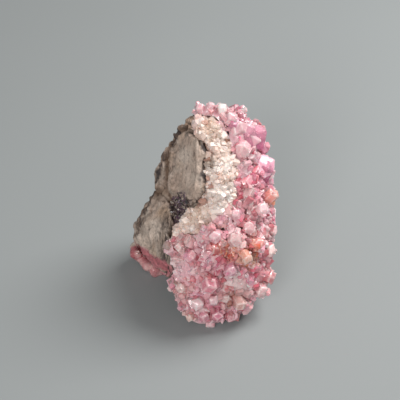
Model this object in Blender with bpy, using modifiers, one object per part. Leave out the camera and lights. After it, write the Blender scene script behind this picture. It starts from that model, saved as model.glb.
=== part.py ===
"""Cobaltoan calcite specimen: a pink crystal druse on a wedge of broken grey rock.

The stone rests on a flat of its broken underside.  Its druse faces the front (-Y) and
the right (+X), its broken rock faces the left and the back, and a band of cream
granular calcite runs along the ridge between them.  A second, small patch of pink
crystals sits under the left foot.

Frame: metres, +Z up, origin at the bottom centre of the whole specimen.
Every corner list below is in millimetres.
"""

import math
import random

import bmesh
import bpy
from mathutils import Matrix, Vector, noise
from mathutils.bvhtree import BVHTree
from mathutils.geometry import intersect_point_line

MM = 0.001

# The display side faces the front and up.  Crystals are laid out on the plane square to
# it, by their distance across (+X) and up that plane.
DISPLAY_TILT = math.radians(38)
TO_VIEWER = Vector((0, -math.cos(DISPLAY_TILT), math.sin(DISPLAY_TILT)))
DISPLAY_UP = Vector((0, math.sin(DISPLAY_TILT), math.cos(DISPLAY_TILT)))
DISPLAY_ACROSS = Vector((1, 0, 0))

SEAM_GAP = 0.4  # between two minerals that touch, so that each stays its own solid
OUTSIDE = 90.0  # farther from the middle than any part of the stone
SEED = 10
FLAT = math.radians(1)  # faces that meet at less than this are one face
SHORTEST_EDGE = 0.003
RHOMB_WIDTH_OF_UNIT_CUBE = 2 * math.sqrt(2 / 3)  # across its diagonal

# Rock: an upper block behind the ridge, a flat slab left standing on its left face, and
# a lower block that bulges over the left foot.
ROCK_UPPER = [
    (-4.5, 14, 52.5), (0, 18, 52), (6, 19, 49),
    (-7, 14.5, 50), (-10.2, 16, 43), (-13.4, 16, 37), (-16.4, 15.5, 29), (-14.5, 14, 23),
    (-1.5, 6, 51.5), (-0.6, 2.2, 47.5), (-0.4, -1, 42.5), (-0.7, -4.4, 37.5), (-1.4, -6.5, 34),
    (8, 4, 45), (12, 10, 40), (11, -1, 29), (14, 16, 28),
    (-8, 21.5, 36), (6, 23, 38), (10, 20, 42), (-10, 21, 24), (12, 21, 24),
]  # fmt: skip
ROCK_SLAB = [
    (-7.8, 9, 46.2), (-5, 6.6, 50.4), (-2.6, 3, 51.5), (-1.5, -1.5, 49.5),
    (-1.2, -5.2, 45.8), (-1.6, -8.4, 41), (-3, -9.4, 37.2), (-5.4, -7.6, 34.4),
    (-9, -1.2, 31.6), (-9.6, 4, 35.2), (-9, 7, 40.4), (-4, 10, 42), (-3, 3, 38), (-6, 6, 34),
]  # fmt: skip
ROCK_LOWER = [
    (-14.8, 14.5, 24.5), (-18.6, 13.2, 18.5), (-22, 12, 13.5), (-22.4, 11.5, 8.5),
    (-5, -5, 30), (-8.2, -6.2, 27.5), (-10.3, -8.2, 24), (-10.8, -10.5, 19.5),
    (-10.6, -12, 14), (-3.5, -10, 5), (1, -12, -1),
    (-15.8, 1.5, 20.5), (-12.6, -2, 25), (-17.2, 5, 15.5), (-14, -2.5, 15.5),
    (-22.2, 9.8, 4.6), (-17.8, 5.5, 7.8), (-14.3, 2.6, 7), (-12.2, 1, 3.7),
    (-6, 2, -1), (-12, 16, -1),
    (8, -15, -1), (10, -13, 14), (15, -6, 12), (15, 4, 22),
    (-17, 18, 14), (-12, 19, -1), (-6, 23, 24), (8, 23, 22), (10, 20, -1), (15, 12, 6),
]  # fmt: skip
# On its display side, across and up: a plate that stands proud above a hollow, and the
# cracks beside it.
PLATE_AT = (-5.8, 34.4)
PLATE_HALF_SIZE = (5.0, 10.2)
PLATE_PROUD = 1.3
POCKET_AT = (-7.6, 21.5)
POCKET_HALF_SIZE = (2.8, 4.6)
POCKET_DEPTH = 2.0
CRACKS = [
    [(-6.4, 46), (-9.8, 43), (-11.6, 39.5), (-12.2, 34), (-12.2, 28), (-10.7, 24.5)],
    [(-14.6, 26.6), (-13.4, 26), (-10.7, 24.5), (-9, 21.8), (-9.8, 18), (-11, 15)],
]
CRACK_HALF_WIDTH = 1.5
CRACK_DEPTH = 1.7

# Cream granular calcite: the broken edge of the calcite vein along the ridge.
VEIN_UPPER = [
    (-4.5, 11.5, 53), (-2.5, 7, 53.6), (2.5, 10, 55), (5.5, 9.5, 53), (-1.6, 4, 52),
    (-1.2, -2, 46), (-1.6, -6, 40), (-1.8, -8.2, 36.4), (2.5, 2.5, 51), (3.5, -3, 46),
    (4, -7.8, 40.5), (7, 5, 49.5), (7.5, 0.5, 45), (8, -3, 41), (8, -6, 37.5),
    (6.5, -9.5, 35), (5, 12, 45), (7, 6, 38),
]  # fmt: skip
VEIN_LOWER = [
    (-1.4, -8.5, 37), (6, -10, 35.5), (-6, -7.5, 32.5), (-9.3, -8.8, 28), (-11, -10.3, 24.5),
    (4.5, -11.5, 32), (-1, -11.8, 31.8), (-6, -11.2, 28.5), (0, -5, 30), (-6, -4, 26),
    (8.5, -7, 34), (10, -4, 32), (8, -8, 27), (-8, -10, 20),
]  # fmt: skip

# Pink druse, without its crystals.
DRUSE_TOP = [
    (-5.5, 14.5, 53.5), (-3.5, 13, 55.5), (1, 13.5, 56.5), (3, 9, 54.8), (8, 13.5, 53.5),
    (11, 14.5, 51), (6.5, 4.5, 50), (10.5, 4.5, 49), (14.5, 14.5, 45.5), (14.2, 8, 44),
    (7.5, -0.5, 44), (17, 14, 37), (8, 18, 49), (14, 20, 38), (8, -3, 39), (12, -3.5, 37.5),
    (16.2, 3, 34), (13, 19, 28), (18.4, 11, 28),
]  # fmt: skip
DRUSE_MIDDLE = [
    (16.2, 3, 34), (18.4, 11, 28), (19.3, 6, 23), (19.3, 0, 19.5), (19.3, -5, 15),
    (12, -3.5, 37.5), (7.5, -3, 39), (7.5, -7, 36), (5, -12, 30.5), (14, -7, 30), (15, -11, 22),
    (10, -14.5, 23), (8, 0, 18), (16, 16, 16), (14, 18, 26), (16, 8, 8),
]  # fmt: skip
DRUSE_FRONT = [
    (-9, -10.5, 26.5), (-4, -12.8, 29.5), (2, -14, 30.5), (7, -13.5, 30.5), (12, -13, 25),
    (-11.3, -12, 20), (-10.4, -14.5, 14), (-8.6, -17, 8), (-6.2, -19.5, 2.5), (0, -20.5, 0.5),
    (9, -18, 2.5), (15.5, -13, 8), (18.6, -8, 12), (0, -20.5, 12), (8, -18.5, 14),
    (0, -18.5, 20), (15, -4, 4), (8, -8, -1), (-6, -14, -1), (12, -2, 20), (-7, -8, 18),
]  # fmt: skip

# Pink patch on the left foot, under the lower block's bulge.
FOOT = [
    (-21.4, 10, 5), (-17.8, 6.5, 7.6), (-14, 2.4, 8), (-21.4, 10.4, 0), (-17.8, 7.8, 0),
    (-14, 5.8, 0), (-11.6, 1.8, 1), (-11.8, 0, 5), (-12, 12, 0), (-10, 6, 6), (-16, 13, 5),
]  # fmt: skip

DRUSE_MIDDLE_POINT = Vector((5, -1, 24))  # inside the druse and inside the patch
FOOT_MIDDLE_POINT = Vector((-14, 4, 6))

# Single crystals that give the display side its look: across, up, width, how far it
# stands proud, then its axis as across, up and towards the viewer.
LARGE_CRYSTALS = [
    (11.8, 43.2, 9.5, 2.5, (0.15, 0.15, 1.0)),
    (8.6, 45.4, 6.5, 3.0, (-0.4, 0.2, 1.0)),
    (13.4, 45.0, 6.5, 2.5, (0.6, 0.5, 0.8)),
    (15.0, 40.5, 5.0, 2.5, (0.8, -0.3, 0.8)),
    (10.0, 39.5, 5.0, 2.5, (-0.2, -0.5, 1.0)),
    (6.0, 47.5, 4.5, 3.5, (0.6, 0.5, 0.7)),
    (4.5, 50.0, 3.2, 3.0, (-0.2, 0.9, 0.5)),
    (9.0, 49.3, 3.6, 2.5, (0.3, 1.0, 0.6)),
    (-2.0, 51.0, 3.2, 2.0, (-0.4, 0.8, 0.5)),
    (0.5, 50.8, 3.4, 2.5, (0.5, 1.0, 0.4)),
    (16.2, 34.5, 8.0, 3.0, (0.3, 0.2, 1.0)),
    (17.0, 30.6, 6.0, 2.5, (0.8, -0.3, 0.9)),
    (13.0, 37.0, 3.8, 3.5, (-0.2, 0.3, 1.0)),
    (16.6, 24.0, 4.4, 5.5, (0.9, 0.9, 0.7)),
    (14.2, 22.0, 4.8, 4.0, (0.8, 0.1, 0.9)),
    (9.0, 18.5, 3.4, 5.0, (-0.4, 0.9, 0.9)),
    (11.5, 17.0, 4.4, 3.5, (0.2, -0.1, 1.0)),
    (2.2, 15.0, 4.8, 4.0, (0.0, -0.35, 1.0)),
    (7.4, 13.4, 5.2, 4.0, (0.35, 0.1, 1.0)),
    (2.6, 10.8, 4.4, 3.5, (-0.9, 0.2, 0.8)),
    (10.2, 9.5, 4.0, 4.5, (0.5, -0.6, 1.0)),
    (14.0, 12.5, 4.2, 4.0, (0.4, -0.2, 1.0)),
    (18.0, 15.5, 4.4, 3.0, (0.9, 0.4, 0.7)),
    (17.0, 10.0, 4.4, 3.5, (1.0, 0.0, 0.5)),
    (6.5, 5.5, 4.4, 3.5, (0.2, -0.6, 1.0)),
    (1.2, 0.8, 6.0, 4.0, (-0.3, -0.2, 1.0)),
    (-4.0, 8.5, 4.6, 3.0, (-0.4, 0.3, 1.0)),
    (-7.5, 11.0, 4.0, 2.5, (-0.6, 0.5, 0.9)),
    (-7.0, -0.8, 4.2, 2.5, (-0.7, 0.0, 0.9)),
    (-2.5, -4.5, 5.0, 3.5, (-0.2, -0.5, 1.0)),
    (3.0, -8.0, 4.6, 3.0, (0.0, -0.8, 0.9)),
    (9.0, -4.5, 5.0, 3.5, (0.5, -0.9, 0.7)),
    (15.0, -1.0, 5.0, 3.5, (0.6, -0.6, 0.8)),
    (17.5, 2.5, 4.4, 3.0, (0.9, -0.3, 0.6)),
    (-5.5, -6.0, 3.6, 2.0, (-0.7, -0.2, 0.8)),
    (-4.6, -9.2, 3.6, 2.0, (-0.6, -0.4, 0.8)),
    (-0.8, -8.8, 4.0, 2.5, (-0.2, -0.4, 1.0)),
    (1.4, -4.4, 3.8, 3.0, (0.3, 0.2, 1.0)),
    (5.6, -4.0, 3.6, 3.0, (-0.3, 0.3, 1.0)),
    (6.8, -9.0, 4.2, 2.5, (0.4, -0.6, 0.8)),
    (11.0, -5.6, 4.2, 2.5, (0.7, -0.5, 0.7)),
    (1.0, -11.4, 3.6, 1.5, (-0.1, -0.5, 0.9)),
]

# Crystals tried over the whole sphere of directions: those that would miss drop out.
SMALL_CRYSTALS = 390
SMALL_WIDTH = (3.2, 5.4)
SMALL_PROUD = (0.15, 0.5)  # of its width
FAR_SIDE_GROWTH = 1.3  # crystals on the back of the druse are larger and fewer
FOOT_CRYSTALS = 100
FOOT_WIDTH = (4.5, 6.5)

ROCK_TRIANGLES = 1650
VEIN_TRIANGLES = 800
BED_TRIANGLES = 320  # the druse under its crystals
FOOT_BED_TRIANGLES = 90


def new_object(name, mesh, collection):
    obj = bpy.data.objects.new(name, mesh)
    collection.objects.link(obj)
    return obj


def new_collection(name):
    collection = bpy.data.collections.new(name)
    bpy.context.scene.collection.children.link(collection)
    return collection


def blocks(name, corner_lists, collection):
    """One object of convex blocks, each wrapped round its corners."""
    bm = bmesh.new()
    for corners in corner_lists:
        points = [bm.verts.new(Vector(corner) * MM) for corner in corners]
        wrapped = bmesh.ops.convex_hull(bm, input=points)
        inside = {
            item
            for item in wrapped["geom_interior"] + wrapped["geom_unused"]
            if isinstance(item, bmesh.types.BMVert)
        }
        bmesh.ops.delete(bm, geom=list(inside), context="VERTS")
    bmesh.ops.recalc_face_normals(bm, faces=bm.faces)
    return new_object(name, mesh_from(bm, name), collection)


def mesh_from(bm, name):
    mesh = bpy.data.meshes.new(name)
    bm.to_mesh(mesh)
    bm.free()
    return mesh


def apply_modifiers(obj):
    graph = bpy.context.evaluated_depsgraph_get()
    mesh = bpy.data.meshes.new_from_object(obj.evaluated_get(graph))
    obj.modifiers.clear()
    obj.data = mesh


def weather(obj, voxel, depth_at, triangles):
    """Melts the blocks into one stone, breaks its surface up and leaves it in few facets."""
    melt = obj.modifiers.new("melt", "REMESH")
    melt.mode = "VOXEL"
    melt.voxel_size = voxel * MM
    apply_modifiers(obj)
    for vertex in obj.data.vertices:
        vertex.co += vertex.normal * depth_at(vertex.co / MM, vertex.normal) * MM
    facets = obj.modifiers.new("facets", "DECIMATE")
    facets.ratio = triangles / (2 * len(obj.data.polygons))
    apply_modifiers(obj)


def off_centre(across, up, middle, half_size):
    """How far a place is from the middle of an oval: 1 on its outline."""
    return math.hypot((across - middle[0]) / half_size[0], (up - middle[1]) / half_size[1])


def crack_depth(across, up):
    place = Vector((across, up))
    depth = 0.0
    for crack in CRACKS:
        for start, end in zip(crack, crack[1:]):
            nearest, share = intersect_point_line(place, start, end)
            if share < 0 or share > 1:
                nearest = Vector(start if share < 0 else end)
            off = (place - nearest.xy).length / CRACK_HALF_WIDTH
            depth = max(depth, CRACK_DEPTH * (1 - off))
    return depth


def display_relief(point):
    """The plate, the pocket and the cracks of the rock's display side, in mm."""
    across, up = point.dot(DISPLAY_ACROSS), point.dot(DISPLAY_UP)
    plate = PLATE_PROUD * (off_centre(across, up, PLATE_AT, PLATE_HALF_SIZE) < 1)
    hollow = 1 - off_centre(across, up, POCKET_AT, POCKET_HALF_SIZE) ** 2
    return plate - POCKET_DEPTH * max(0.0, hollow) - crack_depth(across, up)


def broken_rock(point, normal):
    """Chipped faces, low lumps, the bedding's ledges and the display side's forms, as a
    height in mm."""
    chips = noise.voronoi(point / 9)[0][0] - 0.45
    lumps = noise.fractal(point / 5, 1.0, 2.0, 3)
    bedding = point @ Vector((0.75, 0.35, -0.55)) / 6 + 0.5 * noise.noise(point / 12)
    ledge = math.tanh(5 * (bedding - math.floor(bedding) - 0.5))
    shown = display_relief(point) if normal.dot(TO_VIEWER) > 0 else 0.0
    return 1.6 * chips + 0.45 * lumps + 0.35 * ledge + shown


def sugary_calcite(point, _normal):
    return 0.5 * noise.fractal(point / 2.2, 0.7, 2.0, 3) + 0.5 * noise.noise(point / 5)


def druse_bed(point, _normal):
    """Blocky lumps, as if of crystals that grew into each other, as a height in mm."""
    return 2.0 * noise.voronoi(point / 5)[0][0] - 1.0


def swollen(obj, by, cutters):
    """A copy of the object, larger by that much on every side: the cutter that keeps its
    neighbour clear of it."""
    cutter = new_object(obj.name + "_cutter", obj.data.copy(), cutters)
    for vertex in cutter.data.vertices:
        vertex.co += vertex.normal * by * MM
    hide(cutter)
    return cutter


def hide(obj):
    obj.hide_render = True
    obj.display_type = "WIRE"


def cut(obj, cutters, solver="EXACT"):
    for cutter in cutters:
        modifier = obj.modifiers.new("cut", "BOOLEAN")
        modifier.operation = "DIFFERENCE"
        modifier.solver = solver
        modifier.object = cutter
        apply_modifiers(obj)


def keep_largest_piece(obj):
    """Drops crumbs that a cut left loose."""
    bm = bmesh.new()
    bm.from_mesh(obj.data)
    unseen = set(bm.verts)
    pieces = []
    while unseen:
        piece, front = set(), [unseen.pop()]
        while front:
            vertex = front.pop()
            piece.add(vertex)
            linked = {edge.other_vert(vertex) for edge in vertex.link_edges} & unseen
            unseen -= linked
            front.extend(linked)
        pieces.append(piece)
    pieces.sort(key=len)
    bmesh.ops.delete(bm, geom=[v for piece in pieces[:-1] for v in piece], context="VERTS")
    bm.to_mesh(obj.data)
    bm.free()


def tidy_faces(obj):
    """Drops edges too short to see and makes each flat crystal face one face again."""
    bm = bmesh.new()
    bm.from_mesh(obj.data)
    bmesh.ops.dissolve_degenerate(bm, dist=SHORTEST_EDGE * MM, edges=bm.edges)
    bmesh.ops.dissolve_limit(bm, angle_limit=FLAT, verts=bm.verts, edges=bm.edges)
    bmesh.ops.triangulate(bm, faces=bm.faces)
    bm.to_mesh(obj.data)
    bm.free()


def prism_crystal(width, length, rng):
    """A six-sided calcite prism with a three-faced cap, its tip at length above the
    origin.  The cap's faces stand over every other corner, so the shoulders rise and fall."""
    bm = bmesh.new()
    radius = width / 2
    shoulder = radius * rng.uniform(0.7, 0.95)
    cap_slope = rng.uniform(0.35, 0.8)
    for corner in range(6):
        angle = corner * math.pi / 3
        outward = Vector((math.cos(angle), math.sin(angle), 0))
        drop = cap_slope * shoulder * (1.0 if corner % 2 else 0.5)
        bm.verts.new(outward * radius * MM)
        bm.verts.new((outward * shoulder + Vector((0, 0, length - drop))) * MM)
    bm.verts.new(Vector((0, 0, length)) * MM)
    bmesh.ops.convex_hull(bm, input=bm.verts)
    bmesh.ops.dissolve_limit(bm, angle_limit=FLAT, verts=bm.verts, edges=bm.edges)
    return mesh_from(bm, "prism")


def rhombohedral_crystal(width, length, rng):
    """Calcite's own rhombohedron, a cube pulled or pressed along its diagonal, its tip at
    length above the origin."""
    bm = bmesh.new()
    bmesh.ops.create_cube(bm, size=width / RHOMB_WIDTH_OF_UNIT_CUBE * MM)
    diagonal_up = Vector((1, 1, 1)).rotation_difference(Vector((0, 0, 1)))
    bmesh.ops.rotate(bm, verts=bm.verts, matrix=diagonal_up.to_matrix())
    bmesh.ops.scale(bm, verts=bm.verts, vec=(1, 1, rng.uniform(0.75, 1.3)))
    tip = max(vertex.co.z for vertex in bm.verts)
    bmesh.ops.translate(bm, verts=bm.verts, vec=(0, 0, length * MM - tip))
    return mesh_from(bm, "rhombohedron")


def add_crystal(collection, shape, point, axis, width, proud, rng):
    """A crystal with its tip proud of point, rooted half its width below."""
    root_depth = 0.5 * width + 1.0
    crystal = new_object("crystal", shape(width, proud + root_depth, rng), collection)
    upright = axis.to_track_quat("Z", "Y").to_matrix().to_4x4()
    turn = Matrix.Rotation(rng.uniform(0, math.tau), 4, "Z")
    root = Matrix.Translation(point - axis * root_depth * MM)
    crystal.matrix_world = root @ upright @ turn


def tree_of(obj):
    bm = bmesh.new()
    bm.from_mesh(obj.data)
    tree = BVHTree.FromBMesh(bm)
    bm.free()
    return tree


def directions(count):
    """Directions spread evenly over the sphere along a golden-angle spiral."""
    golden = math.pi * (3 - math.sqrt(5))
    for i in range(count):
        z = 1 - 2 * (i + 0.5) / count
        across = math.sqrt(1 - z * z)
        yield Vector((across * math.cos(i * golden), across * math.sin(i * golden), z))


def exposed_points(bed, neighbours, middle, count):
    """Points and normals on the bed, seen from outside, that no neighbour covers."""
    tree, others = tree_of(bed), [tree_of(other) for other in neighbours]
    for direction in directions(count):
        start = (middle + direction * OUTSIDE) * MM
        place, normal, _, distance = tree.ray_cast(start, -direction)
        if place is None:
            continue
        covers = [other.ray_cast(start, -direction)[3] for other in others]
        if all(cover is None or cover > distance for cover in covers):
            yield place, normal


def leaning(normal, rng, most):
    """The normal, tipped by up to about that share of its length."""
    tip = Vector([rng.uniform(-most, most) for _ in range(3)])
    return (normal + tip).normalized()


def large_crystals(collection, bed, rng):
    tree = tree_of(bed)
    for across, up, width, proud, axis in LARGE_CRYSTALS:
        start = DISPLAY_ACROSS * across + DISPLAY_UP * up + TO_VIEWER * OUTSIDE
        place = tree.ray_cast(start * MM, -TO_VIEWER)[0]
        along = DISPLAY_ACROSS * axis[0] + DISPLAY_UP * axis[1] + TO_VIEWER * axis[2]
        add_crystal(collection, prism_crystal, place, along.normalized(), width, proud, rng)


def small_crystals(collection, bed, neighbours, middle, count, widths, rng):
    for i, (place, normal) in enumerate(exposed_points(bed, neighbours, middle, count)):
        width = rng.uniform(*widths)
        if normal.dot(TO_VIEWER) < 0:
            width *= FAR_SIDE_GROWTH
            if i % 2:
                continue
        axis = leaning(normal, rng, 0.5)
        proud = width * rng.uniform(*SMALL_PROUD)
        add_crystal(collection, rhombohedral_crystal, place, axis, width, proud, rng)


def grow_on(bed, crystals):
    """Joins the crystals to the bed that they grew from."""
    join = bed.modifiers.new("join", "BOOLEAN")
    join.operation = "UNION"
    join.operand_type = "COLLECTION"
    join.collection = crystals
    apply_modifiers(bed)
    for crystal in list(crystals.objects):
        bpy.data.objects.remove(crystal)
    bpy.data.collections.remove(crystals)


def rock(parts, floor):
    obj = blocks("rock", [ROCK_UPPER, ROCK_SLAB, ROCK_LOWER], parts)
    weather(obj, 1.3, broken_rock, ROCK_TRIANGLES)
    cut(obj, [floor])
    return obj


def granular_calcite(parts, rock_cutter):
    obj = blocks("granular_calcite", [VEIN_UPPER, VEIN_LOWER], parts)
    weather(obj, 0.9, sugary_calcite, VEIN_TRIANGLES)
    cut(obj, [rock_cutter])
    keep_largest_piece(obj)
    return obj


def crystal_druse(parts, rock_obj, vein, cutters):
    obj = blocks("crystal_druse", [DRUSE_TOP, DRUSE_MIDDLE, DRUSE_FRONT], parts)
    weather(obj, 1.5, druse_bed, BED_TRIANGLES)
    rng = random.Random(SEED)
    crystals = new_collection("druse_crystals")
    large_crystals(crystals, obj, rng)
    small_crystals(
        crystals, obj, [rock_obj, vein], DRUSE_MIDDLE_POINT, SMALL_CRYSTALS, SMALL_WIDTH, rng
    )
    grow_on(obj, crystals)
    # EXACT leaves the fused crystals uncut by the rock's cutter, so these cuts are MANIFOLD.
    cut(obj, cutters, "MANIFOLD")
    keep_largest_piece(obj)
    tidy_faces(obj)
    return obj


def foot_crystals(parts, rock_obj, cutters):
    obj = blocks("foot_crystals", [FOOT], parts)
    weather(obj, 1.0, druse_bed, FOOT_BED_TRIANGLES)
    rng = random.Random(SEED + 1)
    crystals = new_collection("foot_patch_crystals")
    small_crystals(
        crystals, obj, [rock_obj], FOOT_MIDDLE_POINT, FOOT_CRYSTALS, FOOT_WIDTH, rng
    )
    grow_on(obj, crystals)
    cut(obj, cutters, "MANIFOLD")
    keep_largest_piece(obj)
    tidy_faces(obj)
    return obj


def floor_cutter(cutters):
    """The half space under the plane that the stone rests on."""
    bm = bmesh.new()
    size = 4 * OUTSIDE * MM
    bmesh.ops.create_cube(bm, size=size, matrix=Matrix.Translation((0, 0, -size / 2)))
    cutter = new_object("floor_cutter", mesh_from(bm, "floor_cutter"), cutters)
    hide(cutter)
    return cutter


def move_origin_under(objects, followers):
    """Sets the specimen on the origin: the middle of its box, on its resting plane."""
    corners = [Vector(c) for obj in objects for c in obj.bound_box]
    shift = [-(min(c[i] for c in corners) + max(c[i] for c in corners)) / 2 for i in (0, 1)]
    for obj in [*objects, *followers]:
        obj.data.transform(Matrix.Translation((*shift, 0)))


def material(name, colour, roughness, transmission=0.0):
    made = bpy.data.materials.new(name)
    made.use_nodes = True
    shader = made.node_tree.nodes["Principled BSDF"]
    shader.inputs["Base Color"].default_value = (*colour, 1)
    shader.inputs["Roughness"].default_value = roughness
    shader.inputs["Transmission Weight"].default_value = transmission
    return made


def main():
    for obj in list(bpy.data.objects):
        bpy.data.objects.remove(obj)
    parts = new_collection("cobaltoan_calcite")
    cutters = new_collection("cutters")

    floor = floor_cutter(cutters)
    rock_obj = rock(parts, floor)
    rock_cutter = swollen(rock_obj, SEAM_GAP, cutters)
    vein = granular_calcite(parts, rock_cutter)
    vein_cutter = swollen(vein, SEAM_GAP, cutters)
    druse = crystal_druse(parts, rock_obj, vein, [rock_cutter, vein_cutter, floor])
    druse_cutter = swollen(druse, SEAM_GAP, cutters)
    foot = foot_crystals(parts, rock_obj, [rock_cutter, druse_cutter, floor])

    finishes = {
        rock_obj: material("grey_rock", (0.42, 0.37, 0.31), 0.85),
        vein: material("cream_calcite", (0.78, 0.66, 0.56), 0.6),
        druse: material("pink_calcite", (0.80, 0.33, 0.45), 0.2, 0.4),
        foot: material("rose_calcite", (0.55, 0.16, 0.22), 0.25, 0.3),
    }
    for obj, finish in finishes.items():
        obj.data.materials.clear()
        obj.data.materials.append(finish)
    move_origin_under(list(finishes), [rock_cutter, vein_cutter, druse_cutter])


main()
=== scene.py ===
"""Cobaltoan calcite specimen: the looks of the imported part.

The rock, the cream calcite and the foot's patch become fine surfaces that stand for
their CAD nodes.  The crystal druse keeps the CAD crystals' faces, split fine, with a tint
for each crystal.  Small crystals stand on the cream calcite and in the druse's crevices,
smooth blocks lie against the druse's largest crystals, and dark crystals line the rock's
pocket.

Metres, +Z up.  Forms and colours on the display side are laid out in millimetres, across
(+X) and up the plane square to the viewer, as in the part's source.
"""

import math
import random
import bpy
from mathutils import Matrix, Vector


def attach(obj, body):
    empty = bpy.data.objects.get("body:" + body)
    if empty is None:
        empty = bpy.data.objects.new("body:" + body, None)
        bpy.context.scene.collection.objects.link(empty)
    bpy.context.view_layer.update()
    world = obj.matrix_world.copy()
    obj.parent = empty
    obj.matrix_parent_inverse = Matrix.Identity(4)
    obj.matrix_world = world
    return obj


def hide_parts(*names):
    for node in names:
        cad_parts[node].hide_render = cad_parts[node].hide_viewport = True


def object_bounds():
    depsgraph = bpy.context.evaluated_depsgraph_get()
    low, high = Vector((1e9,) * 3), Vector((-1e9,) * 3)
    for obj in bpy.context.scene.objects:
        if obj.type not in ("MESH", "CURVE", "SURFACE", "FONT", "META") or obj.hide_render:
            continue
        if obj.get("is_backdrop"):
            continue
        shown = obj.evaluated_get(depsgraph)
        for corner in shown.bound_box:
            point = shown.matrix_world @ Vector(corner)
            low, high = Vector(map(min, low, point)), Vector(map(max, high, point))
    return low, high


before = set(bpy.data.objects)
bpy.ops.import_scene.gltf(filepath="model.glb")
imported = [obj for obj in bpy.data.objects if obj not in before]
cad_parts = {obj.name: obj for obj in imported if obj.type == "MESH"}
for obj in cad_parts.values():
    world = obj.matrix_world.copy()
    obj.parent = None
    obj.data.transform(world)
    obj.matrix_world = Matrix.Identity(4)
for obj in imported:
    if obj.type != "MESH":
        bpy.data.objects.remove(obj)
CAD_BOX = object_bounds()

from types import SimpleNamespace

import bmesh
import bpy
import numpy as np
from mathutils import Matrix, Vector, noise
from mathutils.bvhtree import BVHTree

MM = 0.001
SEED = 21
OUTSIDE = 90  # mm: farther from the layout's plane than any of the stone

DISPLAY_TILT = math.radians(38)
TO_VIEWER = Vector((0, -math.cos(DISPLAY_TILT), math.sin(DISPLAY_TILT)))
DISPLAY_UP = Vector((0, math.sin(DISPLAY_TILT), math.cos(DISPLAY_TILT)))
DISPLAY_ACROSS = Vector((1, 0, 0))
DISPLAY_AXES = np.array([DISPLAY_ACROSS, DISPLAY_UP, TO_VIEWER])
LAYOUT_ORIGIN = Vector((1.08, -0.28, 0)) * MM  # the layout's origin in the frame

IMAGE_SIDE = 400  # pixels
MM_PER_PIXEL = 0.305
LENS = 135.0
SENSOR = 36.0
AIM = (-2.1, 24.8)  # what the picture's middle shows: across, up


def srgb(red, green, blue):
    """A colour as a picture shows it, 0 to 255, made linear."""
    return tuple(
        (c / 255 / 12.92) if c <= 10 else ((c / 255 + 0.055) / 1.055) ** 2.4
        for c in (red, green, blue)
    )


# Some tints also stand for painted shade: deep in the druse's crevices, brown on the cream
# calcite's closed-in grains, umber in the rock's cracks and hollows and in the gaps of the
# cream calcite.
TINTS = {
    "pink": srgb(244, 178, 192),
    "magenta": srgb(230, 150, 182),
    "candy": srgb(226, 136, 170),
    "pale": srgb(250, 217, 218),
    "lavender": srgb(228, 184, 210),
    "rose": srgb(224, 124, 134),
    "deep": srgb(188, 74, 88),
    "garnet": srgb(206, 116, 120),
    "orange": srgb(240, 152, 96),
    "rust": srgb(208, 104, 60),
    "cream": srgb(236, 206, 192),
    "brown": srgb(164, 112, 96),
    "white": srgb(250, 240, 236),
    "milk": srgb(252, 236, 228),
    "stone": srgb(178, 157, 143),
    "ash": srgb(158, 144, 132),
    "chalk": srgb(206, 190, 177),
    "tan": srgb(202, 174, 148),
    "umber": srgb(104, 82, 66),
    "black": srgb(46, 40, 44),
    "plum": srgb(92, 66, 88),
    "wine": srgb(180, 102, 108),
    "dusk": srgb(196, 136, 142),
    "sand": srgb(214, 180, 156),
    "blush": srgb(236, 200, 194),
}

# --- Layout of the display side, in mm -------------------------------------------------

# Rock: the plate and the cracks that the CAD solid has, and the dark mineral.
PLATE_AT = (-5.8, 34.4)
PLATE_HALF_SIZE = (5.0, 10.2)
CRACKS = [
    [(-6.4, 46), (-9.8, 43), (-11.6, 39.5), (-12.2, 34), (-12.2, 28), (-10.7, 24.5)],
    [(-14.6, 26.6), (-13.4, 26), (-10.7, 24.5), (-9, 21.8), (-9.8, 18), (-11, 15)],
]
POCKET_AT = (-8.0, 22.6)
POCKET_HALF_SIZE = (2.9, 4.4)
BLACK_SEAMS = [
    [(-5, 46.5), (-1.6, 46), (-0.6, 40), (-0.3, 34), (-0.5, 28), (-2.4, 24.4), (-8, 24.6)],
    [(-7.4, 46), (-11, 41), (-14, 35), (-15.6, 29.4), (-17.2, 25), (-20, 20), (-21.8, 14)],
]
PLATE_SIDE = [(-1.2, 45), (-0.6, 40), (-0.3, 34), (-0.5, 28), (-2.0, 25)]
NOTCH_AT = (-14.4, 27.0)  # a dent in the left outline, which is partly filled
NOTCH_HALF_SIZE = (2.6, 2.6)
FIBROUS_SEAM = [
    (-10.6, 18.6), (-11.6, 14.6), (-12.2, 10), (-11.4, 5),
    (-9.8, -1), (-8.2, -8), (-6.7, -13),
]  # fmt: skip
FOOT_WEDGE = [(-20.4, 8.2), (-17.4, 6.2), (-13.2, 4.0)]
FOOT_TOP = 9.8  # how far up the foot's pink shows from the display side

# Patches of the rock: across, up, radius, tint, strength.
ROCK_PATCHES = [
    (-6.6, 37.4, 2.2, "chalk", 0.8),
    (-4.2, 33.0, 3.6, "chalk", 0.35),
    (-13.6, 32.5, 2.4, "ash", 0.7),
    # The umber patch at the notch is partly painted shade of the notch.
    (-14.4, 27.0, 2.4, "umber", 0.8),
    (-5.6, 48.2, 2.6, "sand", 0.8),
    (-15.4, 16.4, 3.0, "chalk", 0.9),
    (-19.6, 13.4, 3.6, "chalk", 0.6),
    (-12.6, 21.0, 2.2, "tan", 0.5),
    (-22.0, 9.4, 2.0, "chalk", 0.7),
    (-19.4, 16.4, 2.6, "ash", 0.5),
    (-12.2, 9.0, 3.0, "ash", 0.7),
]

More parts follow.
